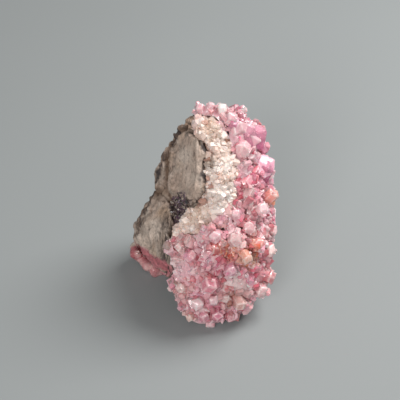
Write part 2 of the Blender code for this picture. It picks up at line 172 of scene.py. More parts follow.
# Patches of the granular calcite, likewise.
VEIN_PATCHES = [
    (1.0, 45.4, 3.0, "sand", 0.6),
    (3.0, 38.9, 1.8, "cream", 0.9),
    (0.8, 35.6, 2.6, "ash", 0.7),
    (6.1, 33.9, 2.4, "milk", 0.9),
    (1.4, 28.6, 2.2, "milk", 0.8),
    (3.2, 24.2, 4.0, "milk", 0.7),
    (-3.6, 49.6, 3.2, "blush", 0.9),
    (-3.0, 20.4, 3.0, "sand", 0.5),
]

# Where the granular calcite turns pink.
PINK_BORDER = [(0, 51), (5, 46.5), (8.5, 41), (10.6, 35), (10.8, 28), (8, 21), (2.5, 18.5)]

# The part's large crystals, which carry few small ones: across, up, width.
LARGE_CRYSTALS = [
    (11.8, 43.2, 9.5), (8.6, 45.4, 6.5), (13.4, 45.0, 6.5), (15.0, 40.5, 5.0),
    (10.0, 39.5, 5.0), (6.0, 47.5, 4.5), (4.5, 50.0, 3.2), (9.0, 49.3, 3.6),
    (-2.0, 51.0, 3.2), (0.5, 50.8, 3.4), (16.2, 34.5, 8.0), (17.0, 30.6, 6.0),
    (13.0, 37.0, 3.8), (16.6, 24.0, 4.4), (14.2, 22.0, 4.8), (9.0, 18.5, 3.4),
    (11.5, 17.0, 4.4), (2.2, 15.0, 4.8), (7.4, 13.4, 5.2), (2.6, 10.8, 4.4),
    (10.2, 9.5, 4.0), (14.0, 12.5, 4.2), (18.0, 15.5, 4.4), (17.0, 10.0, 4.4),
    (6.5, 5.5, 4.4), (1.2, 0.8, 6.0), (-4.0, 8.5, 4.6), (-7.5, 11.0, 4.0),
    (-7.0, -0.8, 4.2), (-2.5, -4.5, 5.0), (3.0, -8.0, 4.6), (9.0, -4.5, 5.0),
    (15.0, -1.0, 5.0), (17.5, 2.5, 4.4), (-5.5, -6.0, 3.6), (-4.6, -9.2, 3.6),
    (-0.8, -8.8, 4.0), (1.4, -4.4, 3.8), (5.6, -4.0, 3.6), (6.8, -9.0, 4.2),
    (11.0, -5.6, 4.2), (1.0, -11.4, 3.6),
]  # fmt: skip
CLEAN_SHARE = 0.45  # of their width, from the middle

# Smooth blocks that lie against the largest of them: across, up, width, turn, and the
# way their axes point (across, up, towards the viewer).
BLOCKS = [
    (11.2, 43.0, 7.4, 0.3, (-0.10, 1.0, 0.35)),
    (14.6, 43.4, 6.2, 0.8, (0.25, 1.0, 0.20)),
    (8.0, 46.2, 4.4, 0.1, (-0.5, 0.8, 0.7)),
    (15.6, 39.6, 4.6, 0.5, (0.7, 0.5, 0.6)),
    (16.6, 33.8, 6.2, 0.9, (0.5, 0.8, 0.55)),
    (15.0, 29.6, 4.2, 0.9, (0.6, 0.3, 0.8)),
]
BLOCK_WEAR = 0.03  # of a block's width
BLOCK_DEPTH = 0.4  # of its width: how far its middle lies behind its front
BLOCK_FRONT = 0.5  # the front is at this quantile of the heights that it covers
BLOCK_PINK = 0.6  # the share of the deeper pink in its tint
BLOCK_SHADE = 0.8

# Where the druse's small crystals crowd: middle, half size.
CROWDED_FACE = ((-4.5, 3.0), (5.5, 8.0))

# Where the druse's colour changes: across, up, radius, tint, strength.
DRUSE_PATCHES = [
    (-2.1, 51.7, 4.5, "pink", 0.5),
    (-3.4, 47.7, 4.0, "cream", 0.8),
    (4.3, 50.8, 2.4, "white", 0.8),
    (6.7, 47.4, 3.0, "magenta", 0.7),
    (12.5, 43.7, 5.5, "candy", 0.9),
    (9.5, 40.0, 2.5, "rose", 0.4),
    (13.1, 36.7, 2.0, "white", 0.5),
    (17.7, 33.4, 4.6, "magenta", 0.9),
    (14.3, 32.2, 2.0, "rose", 0.7),
    (9.5, 29.5, 2.6, "rose", 0.6),
    (18.9, 26.7, 3.4, "pink", 0.8),
    (20.1, 24.2, 2.4, "orange", 0.8),
    (11.0, 24.5, 3.0, "brown", 0.4),
    (9.2, 18.4, 2.2, "pale", 0.6),
    (14.9, 18.7, 3.0, "pink", 0.6),
    (1.8, 16.0, 3.0, "pink", 0.8),
    (7.3, 13.6, 2.6, "pale", 0.4),
    (3.0, 11.4, 2.6, "garnet", 0.9),
    (5.2, 8.8, 3.2, "rust", 0.9),
    (12.2, 8.6, 3.4, "orange", 0.9),
    (6.1, 10.8, 2.2, "orange", 0.9),
    (7.6, 9.2, 1.4, "rust", 0.7),
    (13.0, 13.0, 2.4, "orange", 0.5),
    (-5.2, 17.0, 3.0, "cream", 0.7),
    (-12.0, 11.8, 1.8, "ash", 0.9),
    (-7.6, 14.6, 2.2, "milk", 0.8),
    (4.0, 5.0, 3.0, "candy", 0.6),
    (5.0, 20.4, 3.0, "candy", 0.6),
    (-8.6, 12.4, 3.4, "blush", 0.7),
    (-9.8, 6.5, 2.8, "blush", 0.7),
    (-8.6, -1.5, 2.6, "cream", 0.6),
    (-6.4, 5.2, 2.0, "lavender", 0.8),
    (-4.5, 0.4, 2.2, "rose", 0.8),
    (0.6, 2.4, 3.0, "garnet", 0.9),
    (5.0, 0.6, 2.2, "garnet", 0.8),
    (8.5, -5.0, 4.8, "brown", 1.0),
    # The two white patches low on the right: a white vein, partly a painted glint.
    (8.0, 2.2, 1.8, "white", 1.0),
    (11.2, -0.4, 1.6, "white", 1.0),
    (1.6, -1.4, 1.8, "candy", 0.8),
    (-1.5, -5.7, 4.0, "magenta", 0.6),
    (2.4, -11.2, 3.6, "candy", 0.8),
    (-5.8, -10.2, 3.0, "cream", 0.8),
    (20.4, 10.2, 4.0, "blush", 0.8),
    (-7.4, 6.4, 3.0, "pale", 0.35),
    # Painted shade: the wine patch darkens the druse's shaded bottom.
    (0.5, -10.2, 5.0, "wine", 0.35),
    (-11.8, 11.0, 1.6, "umber", 0.8),
    (-11.4, 7.4, 1.5, "umber", 0.8),
    (-11.1, 3.8, 1.5, "umber", 0.8),
    (-10.8, 0.2, 1.4, "umber", 0.8),
    (-9.8, -3.4, 1.2, "umber", 0.7),
    (16.8, 3.5, 3.4, "rose", 0.5),
]

# --- Fineness, in mm -------------------------------------------------------------------

ROCK_VOXEL = 0.38
VEIN_VOXEL = 0.32
FOOT_VOXEL = 0.35
FOOT_MELT = 16  # rounds of smoothing
LONGEST_CRYSTAL_EDGE = 0.9
HALVINGS = 4  # at most this many, however long the edge

# Small crystals: how many places are tried, and their widths.
DRUSE_TRIES = 5800
DRUSE_WIDTHS = (0.6, 2.9)
VEIN_TRIES = 3200
VEIN_WIDTHS = (0.5, 2.8)
DARK_CRYSTALS = 480
DARK_WIDTHS = (0.3, 0.9)
LEAN = 0.7  # how far a small crystal's axis tips, as a share of the surface's normal
DARK_LEAN = 0.9

OPEN_REACH = 2.5  # a way out that meets nothing for this far is open
CLOSED_IN = 0.16  # a place with a smaller open share has no room for a crystal

# How many of the tries stay: the share where a place is closed in, and the change from
# there to open ground.
ON_LARGE_CRYSTALS = (0.4, -0.38)
ON_FLANKS = (1.2, -0.5)
ON_CROWDED_FACE = (1.2, -0.6)
ON_OTHER_DRUSE = (1.15, -0.98)
ON_VEIN = (0.3, 0.6)

# How far a face is turned to the viewer, -1 to 1.
TOWARDS_VIEWER = 0.05
FLANK = 0.2  # less than this

# --- Light and finish ------------------------------------------------------------------

# Lamps: name, place in metres, width in metres, watts.
LAMPS = [
    ("key", (0.25, 0.15, 0.41), 0.30, 2.9),
    ("fill", (-0.15, -0.50, 0.32), 0.26, 2.15),
]
LAMPLIGHT = (1.0, 0.98, 0.96)
LAMPS_AIM = Vector((0, 0, 0.025))
SKYLIGHT = (1.0, 0.98, 0.97)
SKY_STRENGTH = 0.25
FLOOR_TINT = srgb(140, 145, 146)
FLOOR_HALF_SIDE = 1.5  # metres
CALCITE_IOR = 1.58


def clamp(value, low=0.0, high=1.0):
    return max(low, min(high, value))


def mix(a, b, share):
    """Tint a, drawn towards tint b."""
    return tuple(p + (q - p) * share for p, q in zip(a, b))


def on_display(point):
    """Across and up in mm of a place in the frame."""
    from_origin = point - LAYOUT_ORIGIN
    return from_origin.dot(DISPLAY_ACROSS) / MM, from_origin.dot(DISPLAY_UP) / MM


def off_display(across, up):
    """The place in the frame of a spot on the layout's plane."""
    return (DISPLAY_ACROSS * across + DISPLAY_UP * up) * MM + LAYOUT_ORIGIN


def patch_share(off):
    """How much of a patch's tint shows so many radii from its middle, before clamping."""
    return 1.7 - 1.3 * off


def tree_of(mesh):
    bm = bmesh.new()
    bm.from_mesh(mesh)
    tree = BVHTree.FromBMesh(bm)
    bm.free()
    return tree


def new_object(name, data):
    obj = bpy.data.objects.new(name, data)
    bpy.context.scene.collection.objects.link(obj)
    return obj


def mesh_from(bm, name):
    mesh = bpy.data.meshes.new(name)
    bm.to_mesh(mesh)
    bm.free()
    return mesh


def set_tints(mesh, domain, tints):
    """The colour attribute that the materials read, one tint per vertex or corner."""
    layer = mesh.color_attributes.new("tint", "FLOAT_COLOR", domain)
    rows = np.ones((len(layer.data), 4))
    rows[:, :3] = tints
    layer.data.foreach_set("color", rows.ravel())
    mesh.color_attributes.active_color = layer


def dress(obj, material, replaced=None):
    """Gives a piece its finish and hangs it on the stone."""
    obj.data.materials.clear()
    obj.data.materials.append(material)
    if replaced:
        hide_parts(replaced)
    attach(obj, "root")


# --- Fine surfaces ---------------------------------------------------------------------


class Surface:
    """A fine copy of a CAD node's form.  Its vertices are known in mm by display axes
    (across, up, towards the viewer), to be moved and tinted by place."""

    def __init__(self, node, name, voxel, smoothing=0):
        self.obj = new_object(name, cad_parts[node].data.copy())
        melt = self.obj.modifiers.new("melt", "REMESH")
        melt.mode = "VOXEL"
        melt.voxel_size = voxel * MM
        melt.use_smooth_shade = True
        if smoothing:
            self.obj.modifiers.new("smooth", "SMOOTH").iterations = smoothing
        graph = bpy.context.evaluated_depsgraph_get()
        self.mesh = bpy.data.meshes.new_from_object(self.obj.evaluated_get(graph))
        self.obj.modifiers.clear()
        self.obj.data = self.mesh
        self.world = self.read("co")
        self.outward = self.read("normal")
        self.points = (self.world - np.array(LAYOUT_ORIGIN)) @ DISPLAY_AXES.T / MM
        self.facing = (self.outward @ DISPLAY_AXES.T)[:, 2]

    def read(self, what):
        rows = np.empty(3 * len(self.mesh.vertices))
        self.mesh.vertices.foreach_get(what, rows)
        return rows.reshape(-1, 3)

    def noise(self, size, seed, octaves=3):
        """Noise of about -1 to 1, in lumps that many mm across, or that many each way.
        Each use has its own seed, so that no two line up."""
        rows = self.points / size + seed
        return np.array([noise.fractal(Vector(row), 1.0, 2.0, octaves) for row in rows])

    def cells(self, size, seed):
        """Distance from the nearest of scattered points, 0 to about 1."""
        rows = self.points / size + seed
        return np.array([noise.voronoi(Vector(row))[0][0] for row in rows])

    def off_oval(self, middle, half_size):
        """1 on an oval's outline, less inside it."""
        return np.hypot(*((self.points[:, :2] - middle) / half_size).T)

    def off_paths(self, paths):
        """Distance in mm from the nearest of some broken lines."""
        nearest = np.full(len(self.points), np.inf)
        for path in paths:
            for start, end in zip(path, path[1:]):
                run = np.subtract(end, start)
                from_start = self.points[:, :2] - start
                share = np.clip(from_start @ run / (run @ run), 0, 1)
                off = from_start - share[:, None] * run
                nearest = np.minimum(nearest, np.hypot(*off.T))
        return nearest

    def off_nodes(self, trees):
        """Distance in mm from the nearest of some meshes."""
        rows = [Vector(row) for row in self.world]
        off = [min(tree.find_nearest(row)[3] for tree in trees) for row in rows]
        return np.array(off) / MM

    def move(self, relief):
        """Moves each vertex outward by that many mm, none below the resting plane."""
        on_base = self.world[:, 2] < 0.2 * MM
        moved = self.world + self.outward * (relief * MM)[:, None]
        moved[:, 2] = np.maximum(moved[:, 2], 0)
        moved[on_base] = self.world[on_base]
        self.mesh.vertices.foreach_set("co", moved.ravel())
        self.mesh.update()


def tinted(colours, name, share):
    """Colours drawn towards a named tint."""
    return colours + (np.array(TINTS[name]) - colours) * np.clip(share, 0, 1)[:, None]


def patched(colours, surface, patches):
    """Colours with a table of patches, on the side that faces the viewer."""
    seen = np.clip(3 * surface.facing + 0.5, 0, 1)
    wander = 0.25 * surface.noise(2.5, 40)
    for across, up, radius, name, strength in patches:
        off = surface.off_oval((across, up), (radius, radius)) + wander
        share = seen * strength * np.clip(patch_share(off), 0, 1)
        colours = tinted(colours, name, share)
    return colours


def rock_zones(s, calcite_trees, foot_tree):
    """How far each vertex of the rock is in each of its zones, mostly 0 to 1."""
    z = SimpleNamespace(shown=s.facing > 0, off_calcite=s.off_nodes(calcite_trees))
    z.ragged = s.noise(2.4, 1) + 0.5 * s.noise(0.8, 2)
    plate = s.off_oval(PLATE_AT, PLATE_HALF_SIZE) + 0.12 * z.ragged
    z.plate = np.clip(5 - 5 * plate, 0, 1) * z.shown
    z.crack = np.clip(1.1 - s.off_paths(CRACKS) / 0.9, 0, 1) * z.shown
    z.seam = np.clip(1.15 - s.off_paths(BLACK_SEAMS) / 0.9 + 1.3 * z.ragged, 0, 1) * z.shown
    z.fibrous = np.clip(1.7 - s.off_paths([FIBROUS_SEAM]) / 1.9 + 0.4 * z.ragged, 0, 1)
    z.fibres = np.clip(0.5 + 1.8 * s.noise((0.5, 5.0, 2.0), 14), 0, 1)
    off_foot = s.off_nodes([foot_tree]) + 0.6 * z.ragged
    wedge = np.clip(1.8 - s.off_paths([FOOT_WEDGE]) / 1.6, 0, 1) * z.shown
    z.foot = np.maximum(wedge, np.clip(1.4 - off_foot / 1.8, 0, 1))
    z.margin = np.clip(1.25 - z.off_calcite / 1.3 + 0.7 * z.ragged, 0, 1)
    off_pocket = s.off_oval(POCKET_AT, POCKET_HALF_SIZE)
    z.pocket = np.clip(2.2 - 1.9 * off_pocket + z.ragged, 0, 1)
    z.ribs = s.noise((0.9, 6.0, 4.0), 3)
    return z


def rock_relief(s, z):
    """The rock's relief, in mm outward."""
    lumps = s.noise(3.4, 4)
    chips = s.cells(2.3, 5) - 0.45
    flakes = s.cells((0.8, 1.6, 1.2), 12) - 0.45
    rough = 1 - 0.8 * z.plate
    relief = rough * (0.7 * chips + 0.55 * lumps + 0.35 * flakes + 0.4 * z.ribs)
    relief += 0.14 * s.noise(0.7, 6, 4) + 0.35 * z.plate * s.noise((3.0, 5.0, 3.0), 15)
    off_rim = np.abs(s.off_oval(PLATE_AT, PLATE_HALF_SIZE) - 1.05)
    rim = np.clip(1 - off_rim / 0.25, 0, 1)
    relief += 1.1 * rim * z.shown * s.noise(3.0, 13)
    notch = np.clip(1.6 - s.off_oval(NOTCH_AT, NOTCH_HALF_SIZE), 0, 1)
    relief += 0.9 * notch - 0.7 * z.foot - 0.6 * z.fibrous * z.fibres
    relief -= 0.8 * z.crack * (1 - notch) + 0.2 * z.margin + 0.1
    relief += 0.6 * np.clip(1.2 - s.off_paths([PLATE_SIDE]) / 1.2, 0, 1) * z.shown
    return relief


def rock_tints(s, z, relief):
    """The rock's tints: broad drifts, patches, painted shade in the cracks and hollows, a
    darker tone on the sides turned from the viewer, dark seams, and the foot's pink where
    it meets the rock."""
    colours = np.tile(TINTS["stone"], (len(s.points), 1))
    chalk = 0.9 * s.noise(4.5, 7) + (0.9 - 0.7 * z.plate) * z.ribs
    colours = tinted(colours, "chalk", chalk)
    colours = tinted(colours, "tan", 0.8 * s.noise(6, 8) - 0.05)
    colours = tinted(colours, "ash", 1.1 * s.noise(3.2, 9) - 0.1)
    colours = patched(colours, s, ROCK_PATCHES)
    # Painted shade: the cracks and the hollows of the relief are drawn towards umber.
    hollows = np.clip(-relief - 0.25, 0, 1)
    colours = tinted(colours, "umber", 0.75 * z.crack + 0.9 * hollows)
    # Darker towards umber on the sides turned from the viewer, in ragged patches.
    turned = np.clip(0.25 - s.facing, 0, 1)
    tone_mottle = np.clip(2.2 * turned + z.ragged - 0.5, 0, 1)
    colours = tinted(colours, "umber", 0.55 * tone_mottle)
    colours = tinted(colours, "umber", 0.8 * np.maximum(z.seam, z.fibrous * z.fibres))
    streaks = np.clip(1.6 * s.noise((0.5, 3.5, 2.0), 10) - 0.3, 0, 1)
    streaks *= np.clip(1.8 - z.off_calcite / 2.4, 0, 1)
    dark = [z.seam * z.fibres, z.margin, streaks, z.fibrous * z.fibres]
    colours = tinted(colours, "black", 0.9 * np.maximum.reduce(dark))
    colours = tinted(colours, "dusk", 1.6 * z.foot)
    above_floor = np.clip(s.world[:, 2] / (5 * MM) - 0.4, 0, 1)
    colours = tinted(colours, "wine", 0.8 * z.foot * above_floor)
    colours = tinted(colours, "plum", 0.8 * z.pocket * z.shown)
    specks = np.clip(3 * s.noise(1.1, 11) - 1.1, 0, 1)
    return tinted(colours, "black", 0.6 * specks)


def rock_surface(calcite_trees, foot_tree):
    s = Surface("rock", "rock_surface", ROCK_VOXEL)
    zones = rock_zones(s, calcite_trees, foot_tree)
    relief = rock_relief(s, zones)
    set_tints(s.mesh, "POINT", rock_tints(s, zones, relief))
    s.move(relief)
    return s.obj


def vein_surface():
    """The cream calcite's broken face: sugary lumps with painted shade between them,
    pink along its border with the druse."""
    s = Surface("granular_calcite", "granular_surface", VEIN_VOXEL)
    lumps = 0.5 - s.cells(3.0, 2)
    grains = 0.5 - s.cells(1.2, 8)
    relief = 1.5 * lumps + 0.5 * grains + 0.5 * s.noise(3.6, 1) - 0.3
    colours = np.tile(TINTS["cream"], (len(s.points), 1))
    colours = tinted(colours, "milk", 1.2 * s.noise(3.2, 4) + 0.2)
    colours = tinted(colours, "blush", 1.2 * s.noise(4.0, 5))
    colours = tinted(colours, "sand", 1.3 * s.noise(2.2, 6))
    colours = patched(colours, s, VEIN_PATCHES)
    border = s.off_paths([PINK_BORDER]) + 0.8 * s.noise(2.0, 9)
    colours = tinted(colours, "pink", 0.9 - border / 2)
    # Painted shade: the gaps between lumps and grains are drawn towards umber.
    colours = tinted(colours, "umber", -1.4 * lumps - 0.8 * grains - 0.15)
    set_tints(s.mesh, "POINT", colours)
    s.move(relief)
    return s.obj


def foot_surface():
    """The foot's crystals, melted into a few broad worn faces."""
    s = Surface("foot_crystals", "foot_patch", FOOT_VOXEL, FOOT_MELT)
    height = s.world[:, 2] / (6 * MM)
    colours = np.tile(TINTS["dusk"], (len(s.points), 1))
    colours = tinted(colours, "wine", 1.3 * height - 0.2 + 0.5 * s.noise(2.5, 1))
    colours = tinted(colours, "blush", 0.9 * s.noise(3.0, 2))
    under_rock = s.points[:, 1] - FOOT_TOP + 0.5 * s.noise(1.5, 4)
    colours = tinted(colours, "chalk", np.clip(under_rock, 0, 1) * (s.facing > 0))
    set_tints(s.mesh, "POINT", colours)
    s.move(0.7 + 0.1 * s.noise(1.6, 3))
    return s.obj


# --- Crystals that the CAD solids have -------------------------------------------------


def crystals_in(bm):
    """The faces of each crystal: those that meet along ridges and not along valleys."""
    unseen = dict.fromkeys(bm.faces)
    while unseen:
        crystal, front = [], [unseen.popitem()[0]]
        while front:
            face = front.pop()
            crystal.append(face)
            for edge in face.edges:
                if len(edge.link_faces) != 2 or edge.calc_face_angle_signed() < -0.02:
                    continue
                for neighbour in edge.link_faces:
                    if neighbour in unseen:
                        del unseen[neighbour]
                        front.append(neighbour)
        yield crystal


def split_long_edges(bm, longest, rounds):
    """Halves the edges that are longer than that many mm, so many times over."""
    for _ in range(rounds):
        long_edges = [e for e in bm.edges if e.calc_length() > longest * MM]
        bmesh.ops.subdivide_edges(bm, edges=long_edges, cuts=1)
        wide = [face for face in bm.faces if len(face.verts) > 3]
        bmesh.ops.triangulate(bm, faces=wide, quad_method="SHORT_EDGE")


def openness(point, normal, trees):
    """The share of the directions out of a place that meet nothing within reach."""
    side = normal.orthogonal().normalized()
    other = normal.cross(side)
    start = point + normal * 0.05 * MM
    free, tried = 0, 0
    for tilt, turns in ((0.0, 1), (0.75, 5)):
        for turn in range(turns):
            angle = turn * math.tau / turns
            way = normal * math.cos(tilt) + math.sin(tilt) * (
                side * math.cos(angle) + other * math.sin(angle)
            )
            tried += 1
            free += all(t.ray_cast(start, way, OPEN_REACH * MM)[0] is None for t in trees)
    return free / tried


def ridge_height(vertex):
    """How sharp a ridge (up to 1) or a valley (down to -1) the vertex lies on."""
    folds = [edge for edge in vertex.link_edges if len(edge.link_faces) == 2]
    turns = [edge.calc_face_angle_signed() for edge in folds]
    sharpest = max(turns, key=abs, default=0.0)
    return clamp(sharpest, -1.0, 1.0)


def crystal_surface(node, name, tint_at, rng):
    """A CAD node's crystals in small faces: a tint for each crystal, paler along its
    ridges (frosting, partly painted highlight) and a deeper, darker pink down in the
    crevices (painted shade), with slightly wavy faces and worn edges."""
    bm = bmesh.new()
    bm.from_mesh(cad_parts[node].data)
    bmesh.ops.remove_doubles(bm, verts=bm.verts, dist=0.001 * MM)
    tree = BVHTree.FromBMesh(bm)
    layer = bm.faces.layers.int.new("crystal")
    tints = []
    for crystal in crystals_in(bm):
        area = sum(face.calc_area() for face in crystal)
        centre = sum((f.calc_center_median() * f.calc_area() for f in crystal), Vector())
        normal = sum((f.normal * f.calc_area() for f in crystal), Vector()).normalized()
        for face in crystal:
            face[layer] = len(tints)
        tints.append(tint_at(centre / area, normal, rng))

    split_long_edges(bm, LONGEST_CRYSTAL_EDGE, HALVINGS)
    bm.normal_update()
    ridges = [ridge_height(vertex) for vertex in bm.verts]
    depths = [1 - openness(vertex.co, vertex.normal, [tree]) for vertex in bm.verts]
    moved = []
    for vertex, ridge in zip(bm.verts, ridges):
        wave = noise.fractal(vertex.co / (1.6 * MM), 1.0, 2.0, 2)
        wear = 0.10 * max(ridge, 0.0) * (1 + noise.noise(vertex.co / (0.9 * MM)))
        lift = (0.07 * wave - wear) * MM if vertex.co.z > 0.3 * MM else 0.0
        moved.append(vertex.co + vertex.normal * lift)
    for vertex, place in zip(bm.verts, moved):
        vertex.co = place

    mesh = mesh_from(bm, name)
    which = np.empty(len(mesh.polygons), dtype=np.int32)
    mesh.attributes["crystal"].data.foreach_get("value", which)
    corners = np.empty(len(mesh.loops), dtype=np.int32)
    mesh.loops.foreach_get("vertex_index", corners)
    colours = np.repeat(np.array(tints)[which], 3, axis=0)
    # Painted light and shade: ridges drawn towards white, partly a painted edge highlight,
    # and closed-in places towards the deep tint, a painted crevice shade.
    pale = np.clip(np.array(ridges), 0, 1)[corners]
    deep = np.clip(1.4 * np.array(depths) - 0.2, 0, 1)[corners]
    colours = tinted(colours, "deep", 0.7 * deep)
    colours = tinted(colours, "white", 0.45 * pale * (1 - deep))
    set_tints(mesh, "CORNER", colours)
    mesh.shade_smooth()
    mesh.set_sharp_from_angle(angle=math.radians(22))
    return new_object(name, mesh)


# --- Small crystals --------------------------------------------------------------------


def outline_of(bm):
    """Corners and faces of a unit crystal, to stamp out many of."""
    bm.verts.index_update()
    corners = np.array([vertex.co for vertex in bm.verts])
    faces = [[vertex.index for vertex in face.verts] for face in bm.faces]
    bm.free()
    return corners, faces


def rhombohedron(stretch):
    """Calcite's rhombohedron on its corner, one unit across."""
    bm = bmesh.new()
    bmesh.ops.create_cube(bm, size=0.612)
    upright = Vector((1, 1, 1)).rotation_difference(Vector((0, 0, 1)))
    bmesh.ops.rotate(bm, verts=bm.verts, matrix=upright.to_matrix())
    bmesh.ops.scale(bm, verts=bm.verts, vec=(1, 1, stretch))
    return outline_of(bm)


def prism(length, shoulder, wear=0.0):
    """A six-sided prism, one unit across, with a three-faced cap and worn edges."""
    bm = bmesh.new()
    for corner in range(6):
        angle = corner * math.pi / 3
        outward = Vector((math.cos(angle), math.sin(angle), 0)) / 2
        drop = 0.35 * (1.0 if corner % 2 else 0.5)
        bm.verts.new(outward - Vector((0, 0, length / 2)))
        bm.verts.new(outward * shoulder + Vector((0, 0, length / 2 - drop)))
    bm.verts.new(Vector((0, 0, length / 2)))
    bmesh.ops.convex_hull(bm, input=bm.verts)
    bmesh.ops.dissolve_limit(
        bm, angle_limit=math.radians(1), verts=bm.verts, edges=bm.edges
    )
    if wear:
        edges = list(bm.edges)
        bmesh.ops.bevel(bm, geom=edges, offset=wear, segments=2, affect="EDGES")
    return outline_of(bm)


SHAPES = [
    rhombohedron(0.8),
    rhombohedron(1.1),
    rhombohedron(1.5),
    prism(1.3, 0.85),
    prism(1.6, 0.8),
]


def stamp(crystals, name):
    """One mesh of crystals, each a (shape, centre, axis, turn, size, tint), paler at
    its tip as painted light and deeper at its base as painted shade."""
    points, faces_out, tints = [], [], []
    count = 0
    for (corners, faces), centre, axis, turn, size, tint in crystals:
        stand = axis.to_track_quat("Z", "Y").to_matrix() @ Matrix.Rotation(turn, 3, "Z")
        points.append(corners @ np.array(stand).T * size + np.array(centre))
        faces_out.extend([count + v for v in face] for face in faces)
        # Painted light and shade: corners towards the tip drawn towards white, corners
        # towards the base away from it, darker.
        tips = np.clip(1.2 * corners[:, 2], -0.6, 1)[:, None]
        paler = np.array(tint) + (np.array(TINTS["white"]) - tint) * 0.33 * max(tint) * tips
        tints.append(np.clip(paler, 0.01, 1))
        count += len(corners)
    mesh = bpy.data.meshes.new(name)
    mesh.from_pydata(np.concatenate(points).tolist(), [], faces_out)
    set_tints(mesh, "POINT", np.concatenate(tints))
    return new_object(name, mesh)


def surface_points(mesh, count, rng):
    """Points spread over a mesh by area, each with its face's normal."""
    mesh.calc_loop_triangles()
    reach = np.cumsum([triangle.area for triangle in mesh.loop_triangles])
    for i in range(count):
        which = np.searchsorted(reach, (i + rng.random()) / count * reach[-1])
        triangle = mesh.loop_triangles[min(int(which), len(reach) - 1)]
        a, b, c = (mesh.vertices[v].co for v in triangle.vertices)
        s, t = rng.random(), rng.random()
        if s + t > 1:
            s, t = 1 - s, 1 - t
        yield a + (b - a) * s + (c - a) * t, Vector(triangle.normal)


def in_box(centre, reach):
    """Whether all within reach of there is inside the CAD solids' box."""
    low, high = CAD_BOX
    return all(low[i] + reach < centre[i] < high[i] - reach for i in range(3))


def small_crystal(point, normal, widths, tint, rng, lean=LEAN):
    """A crystal of a random form and size, rooted there."""
    size = (widths[0] + (widths[1] - widths[0]) * rng.random() ** 1.5) * MM
    tip = Vector([rng.uniform(-lean, lean) for _ in range(3)])
    axis = (normal + tip).normalized()
    centre = point + axis * size * rng.uniform(-0.25, 0.05)
    corners, faces = rng.choice(SHAPES)
    shape = corners * (1, rng.uniform(0.7, 1.1), rng.uniform(0.7, 1.0)), faces
    return shape, centre, axis, rng.uniform(0, math.tau), size, tint


def crystals_on(
    mesh, name, tries, widths, tint_at, shade, depth, rule_at, neighbours, rng
):
    """Small crystals on a mesh, where rule_at says how many of the tries stay.  Where the
    place is closed in, they are drawn towards the tint named by shade, up to the share
    given by depth: painted shade in the crevices."""
    trees = [tree_of(mesh), *neighbours]
    crystals = []
    for point, normal in surface_points(mesh, tries, rng):
        free = openness(point, normal, trees)
        closed_share, change = rule_at(point, normal)
        share = 0.0 if free < CLOSED_IN else closed_share + change * free
        keep = rng.random() < share
        # Painted shade: closed-in places drawn towards the shade tint.
        tint = mix(tint_at(point, normal, rng), TINTS[shade], depth * (1 - free))
        crystal = small_crystal(point, normal, widths, tint, rng)
        if keep and in_box(crystal[1], 0.9 * crystal[4]):
            crystals.append(crystal)
    return stamp(crystals, name)


def in_oval(point, middle, half_size):
    across, up = on_display(point)
    off = (across - middle[0]) / half_size[0], (up - middle[1]) / half_size[1]
    return math.hypot(*off) < 1


def druse_rule(point, normal):
    """Few crystals stay on the druse's large ones, many on its flanks and where it is
    crowded, and elsewhere more the more closed in the place is."""
    across, up = on_display(point)
    facing = normal.dot(TO_VIEWER)
    for middle_across, middle_up, width in LARGE_CRYSTALS:
        off = math.hypot(across - middle_across, up - middle_up)
        if facing > TOWARDS_VIEWER and off < CLEAN_SHARE * width:
            return ON_LARGE_CRYSTALS
    if facing < FLANK:
        return ON_FLANKS
    if in_oval(point, *CROWDED_FACE):
        return ON_CROWDED_FACE
    return ON_OTHER_DRUSE


def vein_rule(_point, _normal):
    return ON_VEIN


def in_patches(tint, point, patches, facing=1.0):
    """A tint with a table of patches."""
    across, up = on_display(point)
    for middle_across, middle_up, radius, name, strength in patches:
        off = math.hypot(across - middle_across, up - middle_up) / radius
        tint = mix(tint, TINTS[name], facing * strength * clamp(patch_share(off)))
    return tint


def off_border(point):
    """Distance in mm from the line where the cream calcite turns pink, from points on it
    a quarter of a stretch apart."""
    across, up = on_display(point)
    along = [
        (a[0] + (b[0] - a[0]) * t / 4, a[1] + (b[1] - a[1]) * t / 4)
        for a, b in zip(PINK_BORDER, PINK_BORDER[1:])
        for t in range(5)
    ]
    return min(math.hypot(across - x, up - y) for x, y in along)


def druse_tint(point, normal, rng):
    """The tint of a pink crystal that stands there."""
    drift = noise.noise(point / (9 * MM)) + 0.5 * noise.noise(point / (3 * MM))
    tint = mix(TINTS["pink"], TINTS["magenta"], clamp(0.15 + 0.8 * drift))
    warm = noise.noise(point / (7 * MM) + Vector((5, 1, 9)))
    tint = mix(tint, TINTS["orange"], 0.5 * clamp(2 * warm - 0.4))
    tint = mix(tint, TINTS["blush"], 0.7 * clamp(-2 * warm))
    cluster = noise.fractal(point / (3.2 * MM) + Vector((2, 7, 4)), 1.0, 2.0, 2)
    tint = mix(tint, TINTS["pale"], 0.9 * clamp(1.6 * cluster))
    tint = mix(tint, TINTS["garnet"], 0.6 * clamp(-1.6 * cluster - 0.1))
    facing = clamp(3 * normal.dot(TO_VIEWER) + 0.8)
    tint = in_patches(tint, point, DRUSE_PATCHES, facing)
    # A few crystals paler at random: whitish crystals, partly a painted highlight standing
    # in for glints.
    tint = mix(tint, TINTS["pale"], 0.8 * rng.random() ** 3)
    shade = rng.uniform(0.82, 1.16)
    return tuple(c * shade for c in tint)


